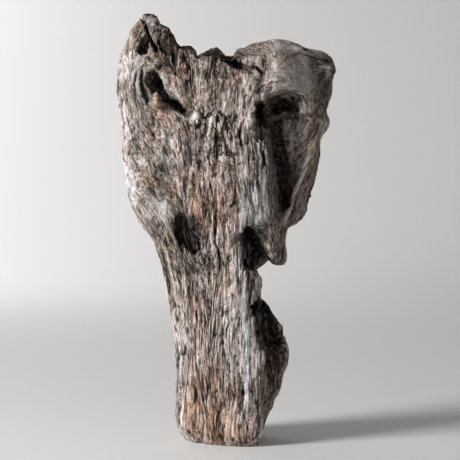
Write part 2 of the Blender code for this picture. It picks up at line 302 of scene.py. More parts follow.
CRACKS = [
    # (places on the front face, half width, depth)
    ([(-10, 300), (-8, 284), (-10, 266), (-6, 251)], 0.8, 2.4),
    ([(-6, 251), (-3, 229), (-4, 207), (-2, 191), (2, 172), (1, 160)], 0.8, 2.8),
    ([(-32, 272), (-20, 256), (-8, 248)], 0.7, 1.5),
    ([(17, 261), (14, 246), (5, 231)], 0.7, 1.8),
    ([(12, 290), (22, 284)], 0.9, 1.6),
    ([(8, 302), (14, 294), (22, 286)], 1.2, 2.2),
    ([(-40, 322), (-38, 306), (-41, 292)], 0.8, 2.2),
    ([(24, 330), (20, 312), (23, 298)], 0.9, 2.4),
    ([(-22, 346), (-17, 331), (-20, 312)], 0.9, 2.2),
    ([(-48, 404), (-46, 392), (-47, 380), (-44, 372)], 1.3, 4.0),
    ([(-36, 398), (-32, 386), (-28, 374), (-27, 362)], 1.1, 3.2),
    ([(-62, 412), (-58, 402), (-55, 394)], 1.2, 3.5),
    ([(6, 386), (18, 379), (33, 374)], 0.8, 2.0),
    ([(-79, 382), (-80, 370), (-78, 358), (-73, 345)], 1.4, 5.0),
    ([(-85, 380), (-87, 366), (-85, 352)], 0.9, 2.4),
    ([(58, 397), (80, 396), (98, 395), (115, 391)], 0.8, 1.8),
    ([(83, 404), (94, 400)], 1.3, 3.5),
    ([(48, 229), (56, 231), (65, 229)], 1.0, 2.6),
    ([(44, 322), (44, 296), (45, 268)], 0.7, 1.8),
    ([(-101, 404), (-96, 418), (-88, 430)], 0.8, 1.6),
    ([(-89, 366), (-86, 350), (-82, 340)], 0.8, 1.8),
    ([(-44, 106), (-42, 88), (-45, 60)], 0.8, 2.0),
    ([(-14, 78), (-13, 60), (-15, 36)], 0.9, 2.2),
    ([(-28, 62), (-26, 50), (-29, 38)], 0.8, 1.8),
    ([(6, 80), (8, 66), (6, 54)], 0.7, 1.6),
    ([(22, 190), (20, 172), (23, 150)], 0.7, 1.6),
    ([(23, 66), (24, 58), (24, 50)], 2.2, 4.0),
    ([(-60, 190), (-52, 166), (-46, 140), (-43, 112)], 0.9, 2.2),
    ([(-68, 204), (-58, 178), (-51, 150)], 1.0, 2.4),
    ([(-47, 186), (-39, 160), (-35, 128), (-36, 104)], 0.8, 1.9),
    ([(-30, 176), (-24, 150), (-24, 122), (-27, 96)], 0.8, 1.9),
    ([(-12, 158), (-10, 130), (-14, 108)], 0.7, 1.7),
    ([(8, 146), (9, 120), (6, 98)], 0.7, 1.6),
]

RIDGES = [
    # (places on the front face, half width, height)
    ([(-58, 208), (-53, 190), (-47, 168), (-44, 150)], 1.3, 1.3),
    ([(-67, 214), (-61, 196), (-56, 174), (-52, 152)], 1.2, 1.0),
    ([(-37, 176), (-35, 150), (-33, 128), (-33, 104)], 1.5, 1.5),
    ([(-45, 140), (-42, 112), (-40, 84), (-40, 50)], 1.5, 1.2),
    ([(17, 207), (19, 194), (23, 180), (25, 166), (25.5, 148), (25.5, 126), (27, 104)], 2.8, 0.9),
    ([(27, 98), (27, 78), (27, 50), (25, 22)], 2.2, 0.9),
    ([(44, 326), (46, 306), (47, 280), (46, 258)], 2.4, 1.2),
    ([(39, 322), (40, 300), (40, 276)], 1.4, 1.0),
]


def line_distance(points, line):
    """How far each point lies from a broken line on the front face, and how far along it, from 0 to 1."""
    p = points[:, (0, 2)]
    ends = np.array(line, float)
    lengths = np.linalg.norm(np.diff(ends, axis=0), axis=1)
    total, done = lengths.sum(), 0.0
    best, where = np.full(len(p), 1e9), np.zeros(len(p))
    for a, b, length in zip(ends, ends[1:], lengths):
        t = np.clip((p - a) @ (b - a) / length**2, 0, 1)
        away = np.linalg.norm(p - a - t[:, None] * (b - a), axis=1)
        closer = away < best
        best = np.where(closer, away, best)
        where = np.where(closer, (done + t * length) / total, where)
        done += length
    return best, where


def named_ridges(points, front):
    """Height of the pale strands that stand out in the photograph."""
    bent = points + 1.2 * noise_at(points, 12, 35)[:, None] * (1, 0, 0)
    height = np.zeros(len(points))
    for line, half_width, high in RIDGES:
        away, along = line_distance(bent, line)
        taper = np.sqrt(np.clip(4 * along * (1 - along), 0, 1))
        height = np.maximum(height, high * taper * np.exp(-((away / half_width) ** 4)))
    return height * smooth_step(0.2, 0.5, front)


def named_cracks(points, front):
    """Depth of the cracks that show in the photograph."""
    depth = np.zeros(len(points))
    near = np.flatnonzero(front > 0.2)
    bent = points[near] + 1.5 * wander(points[near], (9, 9), (31, 32))
    faint = 0.55 + 0.45 * noise_at(points[near], 7, 33)
    for line, half_width, deep in CRACKS:
        away, along = line_distance(bent, line)
        taper = np.sqrt(np.clip(4 * along * (1 - along), 0, 1)) + 0.15
        cut = deep * taper * faint * np.exp(-((away / (half_width * taper)) ** 2))
        depth[near] = np.maximum(depth[near], cut)
    return depth * smooth_step(0.2, 0.5, front)


def openness(points, normals, piece):
    """How much of its surroundings each point sees, from 0 deep in a hollow to 1 on open wood."""
    tree = BVHTree.FromObject(piece, bpy.context.evaluated_depsgraph_get())
    turns = np.arange(RAYS) * math.pi * (3 - math.sqrt(5))
    level = 1 - (2 * np.arange(RAYS) + 1) / RAYS
    flat = np.sqrt(1 - level**2)
    rays = np.stack([flat * np.cos(turns), flat * np.sin(turns), level], axis=-1)
    seen, possible = np.zeros(len(points)), np.zeros(len(points))
    starts = (points + 2.5 * normals) * MM
    for ray in rays:
        facing = normals @ ray
        some = np.flatnonzero(facing > 0.15)
        way = Vector(ray)
        free = [tree.ray_cast(Vector(starts[i]), way, RAY_REACH)[0] is None for i in some]
        seen[some] += facing[some] * np.array(free)
        possible[some] += facing[some]
    return seen / possible


def surface_kinds(points, normals):
    """Shares from 0 to 1 of the kinds of surface that each point lies on."""
    x, z = points[:, 0], points[:, 2]
    front = smooth_step(0.0, 0.5, -normals[:, 1])
    end_grain = smooth_step(0.55, 0.9, np.abs((normals * grain_direction(points)).sum(1)))
    wing_top = smooth_step(52, 64, x) * smooth_step(345, 362, z) * smooth_step(-0.2, 0.2, -normals[:, 1])
    lobe = (1 - smooth_step(-58, -34, x)) * smooth_step(215, 245, z)
    upper = smooth_step(-40, -24, x) * (1 - smooth_step(50, 62, x)) * smooth_step(325, 350, z)
    # The ridge band, worn smooth; in the tone it is also painted darker as shade, being turned away from
    # the light.
    band = smooth_step(34, 41, x) * (1 - smooth_step(53, 56, x)) * smooth_step(222, 240, z)
    band *= 1 - smooth_step(318, 334, z)
    worn = np.maximum.reduce([
        wing_top,
        0.95 * blob(points, (-63, 241), (14, 13), -20) * front,
        0.9 * blob(points, (23, 158), (4.5, 44), 5) * front,
        0.8 * blob(points, (-82, 360), (9, 24)) * front,
        0.8 * band * front,
    ])
    flaky = smooth_step(-36, -22, x) * (1 - smooth_step(34, 44, x))
    flaky *= smooth_step(150, 200, z) * (1 - smooth_step(330, 350, z))
    flaky *= (0.35 + 0.65 * smooth_step(-0.4, 0.3, noise_at(points, 28, 60))) * (1 - end_grain)
    flaky *= 1 - 0.7 * blob(points, (2, 283), (9, 14))
    past = beyond_the_edge(points)
    edge = bump(past, -1.5, 2.2) * smooth_step(214, 228, z) * (1 - smooth_step(322, 336, z))
    # The wing's face past its edge, turned away from the light; in the tone it gets painted shade.
    side = smooth_step(0, 10, past) * smooth_step(210, 222, z) * (1 - smooth_step(312, 334, z))
    # The shoulder's top; in the tone it gets a painted highlight, as the light falls on it from above.
    shelf = smooth_step(0, 2, z - np.interp(x, *zip(*SHOULDER_EDGE))) * smooth_step(38, 60, x)
    jagged = 0.8 * np.maximum(blob(points, (66, 116), (10, 24)), blob(points, (108, 330), (8, 36)))
    torn = smooth_step(0.45, 0.8, normals[:, 2]) * (1 - smooth_step(12, 30, x)) * smooth_step(350, 385, z)
    rotten = np.maximum(blob(points, PIT, (15, 24), -12) * front, 0.6 * blob(points, (54, 124), (16, 26)))
    return SimpleNamespace(
        front=front, end_grain=end_grain, lobe=lobe, upper=upper, woolly=np.maximum(lobe, upper), band=band,
        worn=worn, flaky=flaky, edge=edge, side=side, shelf=shelf, jagged=jagged, torn=torn, rotten=rotten,
    )


def flakes(points, flaky):
    """(height, shade, share of crack) of small flakes and of the plates that they lie on."""
    sway = np.stack([noise_at(points, 9, 41), noise_at(points, 9, 42), noise_at(points, 14, 43)], axis=1)
    gap, flake = cells_at(points / (5.0, 8.0, 14.0) + 0.45 * sway, 1.0, 50)
    plate_gap, plate = cells_at(points / (12.0, 14.0, 26.0) + 0.30 * sway, 1.0, 55)
    split = 1 - smooth_step(0.02, 0.12, gap)
    plate_split = 1 - smooth_step(0.01, 0.075, plate_gap)
    height = flaky * (0.40 * flake - 0.7 * split + 0.8 * plate - 1.2 * plate_split)
    return height, (0.10 * flake + 0.10 * plate) * flaky, flaky * np.maximum(0.5 * split, 0.6 * plate_split)


def all_cracks(points, kinds):
    """Depth of the named cracks, and of the long drying checks of the back."""
    checks = np.maximum(0, 1 - 15 * np.abs(noise_at(points, (13, 13, 90), 77)))
    checks = checks * (1 - kinds.front) * (1 - kinds.end_grain)
    return named_cracks(points, kinds.front) + 2.0 * checks


def grain_height(points, kinds, share, ridge, hair):
    """Height of the swells, lumps and strands, in millimetres."""
    lumps = noise_at(points, (5.5, 5.5, 8), 70)
    rough = noise_at(points, 2.6, 72)
    swell = noise_at(points, (14, 14, 30), 71)
    height = (0.42 * lumps + 0.25 * rough) * (kinds.woolly * 0.9 + 0.3) * (1 - 0.7 * kinds.worn)
    height = 0.8 * swell + height
    height += 1.3 * kinds.edge * kinds.front
    height += 0.85 * (ridge - 0.55) * share * (1 - 0.65 * kinds.flaky)
    height += 1.3 * noise_at(points, 3.6, 76) * kinds.jagged
    height += 0.55 * (hair - 0.5) * (1 - 0.6 * kinds.worn) * (1 - 0.4 * kinds.end_grain)
    raised = named_ridges(points, kinds.front)
    return height * (1 - 0.5 * np.minimum(raised, 1)) + raised


def pit_depth(points, kinds):
    """Depth of the small pits, which are deeper in rotten wood."""
    pits = smooth_step(0.62, 0.95, noise_at(points, (3.5, 3.5, 7), 73)) * (1 - 0.7 * kinds.worn)
    return pits * (0.8 + 1.2 * kinds.rotten) + kinds.rotten * (0.8 + 1.5 * np.abs(noise_at(points, 5, 74)))


def relief(points, normals, open_sky):
    """(the points moved to where the relief puts them, and the tones that go with it)."""
    z = points[:, 2]
    kinds = surface_kinds(points, normals)
    ridge = np.minimum(np.abs(strands(points, size=3.6, half_length=40, seed=11)), 0.9) / 0.9
    hair = np.minimum(np.abs(strands(points, size=1.9, half_length=15, seed=23)), 0.9) / 0.9
    share = (1 - 0.8 * kinds.worn) * (1 - 0.65 * kinds.end_grain) * (1 - 0.88 * kinds.woolly)
    flake_height, flake_shade, flake_crack = flakes(points, kinds.flaky)
    cracks = all_cracks(points, kinds)
    height = grain_height(points, kinds, share, ridge, hair)
    height += flake_height
    height -= cracks
    height -= pit_depth(points, kinds)

    columns = noise_at(points, (3.0, 3.0, 60), 80) + 0.6 * noise_at(points, (7, 7, 60), 81)
    moved = points + normals * (height * smooth_step(0, 3, z))[:, None]
    moved[:, 2] -= 1.8 * kinds.torn * np.abs(columns)
    moved[:, 2] = np.where(z < 0.3, 0, np.maximum(moved[:, 2], 0))

    plain, swirl, swirled = grain_places(points)
    bands = smooth_step(0.0, 0.7, noise_at(swirl, (6, 10, 22), 75)) * kinds.lobe * (0.4 + 0.6 * kinds.front)
    level = height / 2.2 + 0.25 * hair
    tones = {
        # In the tone, band and side darken it as painted shade, and shelf lightens it as a painted
        # highlight.
        "tone": 0.50 + 0.44 * level + flake_shade - 0.4 * kinds.end_grain * kinds.torn
        - 0.10 * bands - 0.08 * kinds.upper - 0.06 * kinds.band + 0.25 * kinds.edge
        - 0.12 * kinds.side + 0.06 * kinds.shelf,
        "crack": np.clip(cracks / 2.4 + flake_crack + 0.5 * (1 - ridge) ** 3 * share, 0, 1),
        "grain": plain,
        "swirl": swirl,
        "swirled": swirled,
        "woolly": np.maximum(kinds.woolly, 0.6 * kinds.flaky),
        "scaly": np.maximum(kinds.flaky, 0.35 * kinds.front * (1 - kinds.worn)),
    }
    return moved, {**tones, **stains(points, normals, kinds.front, open_sky)}


# Stains, painted shade and painted light on the front face, each (centre, half widths, turn in degrees,
# strength).

# Rot, and painted shade: near-black laid in the hollows and shaded corners where shadow falls.
ROT_AND_HOLLOW_SHADE = [  # nearly black, in the hollows
    (PIT, (12, 20), 24, 2.0), ((-20, 190), (9, 16), 20, 0.8), ((-68, 412), (4, 16), 25, 0.9),
    ((112, 382), (8, 16), 0, 0.7), ((106, 352), (9, 16), 0, 0.3), ((50, 122), (11, 21), 25, 1.6),
    ((84, 236), (12, 18), 0, 0.3), ((-52, 344), (6, 10), 30, 0.6), ((60, 342), (10, 8), 0, 0.4),
    ((57, 300), (9, 40), -4, 1.0), ((66, 262), (6, 26), -6, 0.8), ((36, 206), (11, 20), 12, 1.0),
    ((-61, 367), (6, 7), 0, 1.0), ((-50, 348), (5, 16), 55, 0.9), ((-78, 404), (5.5, 11), 15, 0.95),
    ((18, 385), (24, 4), -14, 0.35), ((-8, 398), (14, 7), 0, 0.7), ((42, 334), (6, 12), 0, 0.8),
]

RUST = [  # red-brown wood that shows through
    ((-22, 42), (13, 36), 4, 1.3), ((4, 22), (24, 30), 0, 1.35), ((-8, 70), (10, 24), 0, 0.8),
    ((-20, 234), (11, 28), 8, 0.9), ((5, 246), (16, 26), 0, 1.0), ((-60, 340), (8, 14), 20, 1.2),
    ((-8, 246), (28, 34), 0, 0.55), ((16, 364), (18, 14), 0, 0.5), ((66, 386), (24, 8), 0, 0.4),
    ((8, 200), (8, 24), 0, 0.5), ((-44, 392), (16, 26), 12, 1.2), ((-60, 262), (18, 7), -25, 0.95),
    ((96, 300), (14, 30), -15, 0.6), ((-96, 414), (14, 26), -30, 0.45), ((80, 362), (40, 12), -5, 0.3),
    ((54, 226), (9, 14), 0, 0.5), ((30, 372), (14, 20), -30, 0.4), ((94, 262), (14, 30), -15, 0.7),
    ((60, 70), (14, 50), 0, 0.45), ((-86, 424), (8, 20), -25, 0.7), ((-36, 402), (10, 14), 10, 0.9),
    ((-26, 134), (10, 30), 8, 0.4),
]

# Partly bleached wood, partly painted light on faces turned to the light and over shaded rims.
BLEACH_AND_PAINTED_LIGHT = [  # lighter places
    ((36, 246), (12, 26), 2, 0.25), ((66, 404), (40, 7), 0, 0.9), ((-91, 261), (12, 16), 0, 1.3),
    ((-96, 300), (10, 44), 0, 0.6), ((14, 352), (15, 18), 0, 0.9), ((28, 338), (5, 14), 0, 0.5),
    ((2, 226), (26, 34), 0, 0.6), ((-60, 284), (16, 14), 0, 0.6), ((-40, 362), (16, 16), 0, 0.5),
    ((-46, 174), (7, 26), 20, 0.5), ((-39, 66), (5, 50), 0, 0.8), ((34, 124), (5, 7), 0, 1.0),
    ((-34, 130), (4, 40), 6, 0.7), ((25, 63), (7, 28), 0, 1.7), ((23, 158), (4, 44), 5, 0.3),
    ((80, 374), (34, 14), 0, 0.9), ((-36, 140), (3, 34), 4, 0.7), ((0, 285), (8, 60), 0, 1.0),
    ((1, 184), (8, 22), 0, 1.5), ((77, 310), (8, 11), 0, 2.0), ((-91, 417), (7, 10), 0, 0.8),
    ((1, 244), (8, 12), 0, 1.8), ((-1, 323), (8, 10), 0, 1.7), ((75, 290), (7, 13), 0, 1.6),
    ((69, 354), (12, 5), 0, 1.5), ((44, 353), (7, 6), 0, 1.6), ((17, 134), (6, 14), 0, 0.7),
]

SILVER = [  # blue-grey, sun-silvered strands
    ((46, 292), (5, 42), 0, 1.0), ((34, 242), (13, 25), 0, 1.1), ((23, 158), (4.5, 44), 5, 1.4),
    ((26, 104), (5, 24), 0, 0.9), ((27, 60), (5, 36), 0, 0.9), ((34, 124), (5, 7), 0, 1.0),
    ((-82, 366), (9, 24), 8, 0.6), ((-40, 66), (5, 50), 0, 0.6), ((-63, 241), (13, 13), -20, 0.6),
    ((-92, 258), (12, 18), 0, 0.8), ((-99, 330), (8, 76), 0, 0.5), ((-68, 428), (4, 12), 20, 0.8),
]

SMOOTH = [  # evenly grey, worn by the sea
    ((84, 372), (40, 18), 0, 1.0), ((-63, 241), (14, 13), -20, 1.0), ((-82, 362), (8, 26), 8, 0.9),
    ((-82, 392), (10, 12), 0, 0.6), ((36, 240), (12, 24), 0, 0.7), ((23, 158), (4, 44), 5, 0.7),
    ((46, 292), (5, 42), 0, 0.5),
]

# Darker places, partly painted shade on faces turned away from the light.
DIM_AND_PAINTED_SHADE = [  # darker places
    ((-44, 394), (15, 28), 12, 0.68), ((0, 60), (60, 40), 0, 0.05), ((-46, 66), (9, 50), 0, 0.21),
    ((46, 292), (6, 44), 0, 0.24), ((54, 112), (14, 30), 0, 0.2), ((60, 74), (12, 40), 0, 0.35),
    ((-72, 434), (7, 14), -20, 0.26), ((110, 378), (10, 18), 0, 0.32), ((-40, 362), (14, 12), 0, 0.08),
    ((60, 204), (10, 14), 0, 0.12), ((104, 300), (12, 40), -15, 0.10), ((-50, 344), (14, 14), 0, 0.10),
    ((-47, 284), (12, 11), 0, 0.25), ((-6, 115), (9, 14), 0, 0.31), ((-31, 253), (9, 9), 0, 0.28),
    ((-59, 177), (7, 18), 15, 0.34), ((97, 268), (10, 24), -15, 0.18), ((-28, 337), (8, 8), 0, 0.33),
    ((-31, 175), (12, 14), 10, 0.24), ((-52, 146), (7, 20), 0, 0.19), ((19, 303), (7, 16), 0, 0.20),
    ((43, 262), (8, 14), 0, 0.12), ((-50, 300), (9, 12), 0, 0.22), ((-13, 149), (8, 16), 0, 0.19),
    ((-12, 86), (8, 12), 0, 0.15), ((-57, 253), (8, 5), -20, 0.18), ((-19, 38), (7, 10), 0, 0.13),
    ((-60, 321), (10, 10), 0, 0.14), ((-84, 300), (16, 60), 0, 0.04), ((-54, 110), (8, 60), 0, 0.09),
]


def strongest_of(points, marks):
    """The strongest of some stains at each point."""
    total = np.zeros(len(points))
    for centre, radii, turn, strength in marks:
        total = np.maximum(total, strength * blob(points, centre, radii, turn))
    return total


def stains(points, normals, front, open_sky):
    """Where the wood is rotten, rust brown, bleached, silver-grey, dim or worn smooth; the rot and dimming
    are partly painted shade, the bleach partly painted light.
    """
    patchy = 0.5 + 0.5 * noise_at(points, (9, 9, 26), 101)
    frayed = points + 3.0 * wander(points, (7, 9), (102, 103))
    behind = 1 - front
    # Painted shade: the wood is darkened where few rays get out, deep in the hollows.
    painted_hollow_shade = 0.85 * (1 - smooth_step(0.12, 0.55, open_sky))
    painted_hollow_shade = painted_hollow_shade * (1 - 0.55 * blob(points, (72, 330), (20, 26)))
    # Rot stains and painted shade in the hollows, on faces that don't look backwards.
    rot_and_painted_shade = strongest_of(frayed, ROT_AND_HOLLOW_SHADE) * (1 - smooth_step(-0.1, 0.6, normals[:, 1])) * (0.6 + 0.5 * patchy)
    rust = strongest_of(frayed, RUST) * (0.35 + 0.95 * patchy) * np.maximum(front, 0.5)
    return {
        "rot_and_painted_shade": np.clip(np.maximum(rot_and_painted_shade, painted_hollow_shade), 0, 1),
        "rust": np.clip(rust, 0, 1) + 0.35 * behind * smooth_step(0.5, 1.0, patchy),
        "bleach_and_painted_light": strongest_of(frayed, BLEACH_AND_PAINTED_LIGHT) * (0.45 + 0.7 * patchy) * front,
        "silver": np.clip(strongest_of(frayed, SILVER) * (0.4 + 0.9 * patchy) * front, 0, 1),
        "dim_and_painted_shade": strongest_of(frayed, DIM_AND_PAINTED_SHADE) * np.maximum(front, 0.5),
        "smooth": strongest_of(frayed, SMOOTH) * np.maximum(front, 0.4),
    }


# Meshes

def apply_modifiers(piece):
    """The piece's mesh as its modifiers leave it."""
    graph = bpy.context.evaluated_depsgraph_get()
    mesh = bpy.data.meshes.new_from_object(piece.evaluated_get(graph))
    piece.modifiers.clear()
    piece.data = mesh


def read_points(mesh):
    """(points in millimetres, normals) of a mesh."""
    points, normals = (np.empty(len(mesh.vertices) * 3, np.float32) for _ in range(2))
    mesh.vertices.foreach_get("co", points)
    mesh.vertices.foreach_get("normal", normals)
    return points.reshape(-1, 3).astype(float) / MM, normals.reshape(-1, 3).astype(float)


def write_points(mesh, points):
    mesh.vertices.foreach_set("co", (points * MM).astype(np.float32).ravel())
    mesh.update()


def write_tones(mesh, tones):
    for name, values in tones.items():
        flat = np.ascontiguousarray(values, np.float32).ravel()
        if values.ndim == 1:
            mesh.attributes.new(name, "FLOAT", "POINT").data.foreach_set("value", flat)
        else:
            mesh.attributes.new(name, "FLOAT_VECTOR", "POINT").data.foreach_set("vector", flat)


def new_piece(name, data):
    piece = bpy.data.objects.new(name, data)
    bpy.context.scene.collection.objects.link(piece)
    return piece


def even_skin():
    """The CAD solid's shape, a little softened, in small even faces."""
    bm = bmesh.new()
    bm.from_mesh(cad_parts["driftwood"].data)
    bmesh.ops.remove_doubles(bm, verts=bm.verts, dist=0.00001)
    mesh = bpy.data.meshes.new("weathered_trunk")
    bm.to_mesh(mesh)
    bm.free()
    piece = new_piece("weathered_trunk", mesh)
    remesh = piece.modifiers.new("even_skin", "REMESH")
    remesh.mode = "VOXEL"
    remesh.voxel_size = VOXEL * MM
    soften = piece.modifiers.new("soften", "SMOOTH")
    soften.factor = 0.5
    soften.iterations = 10
    apply_modifiers(piece)
    return piece


def thin_out(piece):
    """Fewer faces, first of all behind."""
    thin = piece.modifiers.new("thin_out", "DECIMATE")
    thin.ratio = min(1, MAIN_TRIANGLES / sum(len(f.vertices) - 2 for f in piece.data.polygons))
    thin.use_collapse_triangulate = True
    thin.vertex_group = "behind"
    thin.vertex_group_factor = 1.0
    apply_modifiers(piece)


def weathered_trunk():
    """The whole piece of wood, worked from the CAD solid's shape."""
    piece = even_skin()
    points, normals = read_points(piece.data)
    points[:, 2] = np.where(points[:, 2] < FLAT_END, 0, points[:, 2])
    write_points(piece.data, press(points, normals))
    points, normals = read_points(piece.data)
    sky = openness(points, normals, piece)
    moved, tones = relief(points, normals, sky)
    write_points(piece.data, moved)
    write_tones(piece.data, tones)
    favour_the_front(piece, normals)
    thin_out(piece)
    piece.data.shade_smooth()
    return piece


def favour_the_front(piece, normals):
    """A group of the vertices behind, which can do with fewer faces."""
    group = piece.vertex_groups.new(name="behind")
    weights = np.round(0.3 + 0.7 * smooth_step(-0.3, 0.3, normals[:, 1]), 1)
    for weight in np.unique(weights):
        group.add(np.flatnonzero(weights == weight).tolist(), float(weight), "REPLACE")


# Materials

class Nodes:
    """Short ways to add nodes to a material."""

    def __init__(self, material):
        self.tree = material.node_tree

    def add(self, kind, **settings):
        node = self.tree.nodes.new(kind)
        for key, value in settings.items():
            setattr(node, key, value)
        return node

    def link(self, source, target):
        if isinstance(source, (int, float)):
            target.default_value = source
        elif isinstance(source, tuple):
            target.default_value = (*source, 1) if len(target.default_value) == 4 else source
        else:
            self.tree.links.new(source, target)

    def tone(self, name):
        return self.add("ShaderNodeAttribute", attribute_name=name).outputs["Fac"]

    def place(self, name):
        return self.add("ShaderNodeAttribute", attribute_name=name).outputs["Vector"]

    def math(self, operation, a, b=0.0, clamp=False):
        node = self.add("ShaderNodeMath", operation=operation, use_clamp=clamp)
        self.link(a, node.inputs[0])
        self.link(b, node.inputs[1])
        return node.outputs[0]

    def mix(self, share, a, b):
        node = self.add("ShaderNodeMix", data_type="RGBA", clamp_factor=True)
        self.link(share, node.inputs["Factor"])
        self.link(a, node.inputs[6])
        self.link(b, node.inputs[7])
        return node.outputs[2]

    def noise(self, place, size, detail=2.0, roughness=0.5):
        """Noise with lumps of a size given for each axis, in the units of the place."""
        scale = self.add("ShaderNodeVectorMath", operation="DIVIDE")
        self.link(place, scale.inputs[0])
        scale.inputs[1].default_value = size
        node = self.add("ShaderNodeTexNoise")
        node.inputs["Scale"].default_value = 1.0
        node.inputs["Detail"].default_value = detail
        node.inputs["Roughness"].default_value = roughness
        self.link(scale.outputs[0], node.inputs["Vector"])
        return node.outputs["Fac"]

    def plates(self, place, size, width):
        """(1 on the thin cracks between long plates, and a random shade for each plate)."""
        scale = self.add("ShaderNodeVectorMath", operation="DIVIDE")
        self.link(place, scale.inputs[0])
        scale.inputs[1].default_value = size
        bend = self.add("ShaderNodeTexNoise")
        bend.inputs["Scale"].default_value = 1.3
        self.link(scale.outputs[0], bend.inputs["Vector"])
        bent = self.add("ShaderNodeVectorMath", operation="MULTIPLY_ADD")
        self.link(bend.outputs["Color"], bent.inputs[0])
        bent.inputs[1].default_value = (0.9, 0.9, 0.9)
        self.link(scale.outputs[0], bent.inputs[2])
        found = []
        for feature in ("DISTANCE_TO_EDGE", "F1"):
            cells = self.add("ShaderNodeTexVoronoi", feature=feature)
            cells.inputs["Scale"].default_value = 1.0
            self.link(bent.outputs[0], cells.inputs["Vector"])
            found.append(cells.outputs["Distance" if feature == "DISTANCE_TO_EDGE" else "Color"])
        line = self.math("SUBTRACT", 1.0, self.math("DIVIDE", found[0], width), clamp=True)
        return line, found[1]

    def around_middle(self, value, gain):
        """A noise value as a number above and below zero."""
        return self.math("MULTIPLY", self.math("SUBTRACT", value, 0.5), gain)

    def ramp(self, value, stops):
        node = self.add("ShaderNodeValToRGB")
        line = node.color_ramp
        while len(line.elements) < len(stops):
            line.elements.new(0.5)
        for element, (at, color) in zip(line.elements, stops):
            element.position = at
            element.color = (*color, 1)
        self.link(value, node.inputs["Fac"])
        return node.outputs["Color"]

    def raise_by(self, shader, height, strength, distance):
        """Bumps on a shader, from a height of 0 to 1 and what that stands for in metres."""
        bump_node = self.add("ShaderNodeBump")
        bump_node.inputs["Strength"].default_value = strength
        bump_node.inputs["Distance"].default_value = distance
        self.link(height, bump_node.inputs["Height"])
        self.link(bump_node.outputs["Normal"], shader.inputs["Normal"])


def new_material(name):
    """(a material, short ways to add nodes to it, its shader node)."""
    material = bpy.data.materials.new(name)
    material.use_nodes = True
    return material, Nodes(material), material.node_tree.nodes["Principled BSDF"]


# Colours of the wood from the darkest crack to the lightest ridge, each (tone, colour).
WARM_WOOD = [
    (0.00, (0.016, 0.012, 0.009)), (0.20, (0.085, 0.057, 0.041)), (0.46, (0.265, 0.195, 0.150)),
    (0.72, (0.470, 0.385, 0.340)), (1.00, (0.700, 0.635, 0.600)),
]
COOL_WOOD = [
    (0.00, (0.015, 0.013, 0.012)), (0.20, (0.075, 0.063, 0.057)), (0.46, (0.235, 0.205, 0.193)),
    (0.72, (0.450, 0.415, 0.408)), (1.00, (0.700, 0.670, 0.670)),
]
RUSTY_WOOD = [
    (0.00, (0.018, 0.010, 0.007)), (0.30, (0.115, 0.053, 0.030)), (0.60, (0.335, 0.175, 0.104)),
    (1.00, (0.610, 0.420, 0.310)),
]
SILVERED_WOOD = [
    (0.00, (0.018, 0.018, 0.020)), (0.22, (0.085, 0.085, 0.090)), (0.50, (0.270, 0.275, 0.290)),
    (0.78, (0.520, 0.530, 0.550)), (1.00, (0.740, 0.750, 0.770)),
]
WORN_WOOD = [(0.00, (0.040, 0.038, 0.035)), (0.45, (0.350, 0.330, 0.310)), (1.00, (0.660, 0.640, 0.610))]
# Near black, for rot and for the painted shade in the hollows.
ROT_AND_SHADE_WOOD = [(0.00, (0.008, 0.007, 0.006)), (0.60, (0.042, 0.036, 0.031)), (1.00, (0.140, 0.120, 0.100))]
FIBRE_COLORS = [
    (0.00, (0.060, 0.043, 0.034)), (0.40, (0.220, 0.165, 0.130)), (0.75, (0.400, 0.340, 0.300)),
    (1.00, (0.600, 0.550, 0.510)),
]


def wood_noises(n):
    """The noises of the wood by name. Most are drawn out along the grain, and swirl where it swirls."""

    def along_grain(size, detail):
        plain = n.noise(n.place("grain"), size, detail, 0.6)
        return n.mix(n.tone("swirled"), plain, n.noise(n.place("swirl"), size, detail, 0.6))

    long_fibre = along_grain((1.9, 1.9, 26), 4)
    short_fibre = along_grain((1.9, 1.9, 5.0), 4)
    line, shade = n.plates(n.place("grain"), (7.5, 7.5, 17), 0.085)
    wave = along_grain((4.2, 4.2, 38), 3)
    hairline = n.math("MULTIPLY", n.math("ABSOLUTE", n.math("SUBTRACT", wave, 0.5)), 26)
    return SimpleNamespace(
        fibre=n.mix(n.math("MULTIPLY", n.tone("woolly"), 0.8), long_fibre, short_fibre),
        fleck=along_grain((0.75, 0.75, 2.4), 2),
        mottle=along_grain((7, 7, 16), 2),
        line=n.math("MULTIPLY", line, n.tone("scaly")),
        shade=shade,
        hairline=n.math("SUBTRACT", 1.0, hairline, clamp=True),
        grit=n.noise(n.place("grain"), (1.0, 1.0, 1.2), 2),
        cloud=n.noise(n.place("grain"), (22, 22, 46), 3),
        hue=n.noise(n.place("grain"), (9, 9, 22), 3),
    )


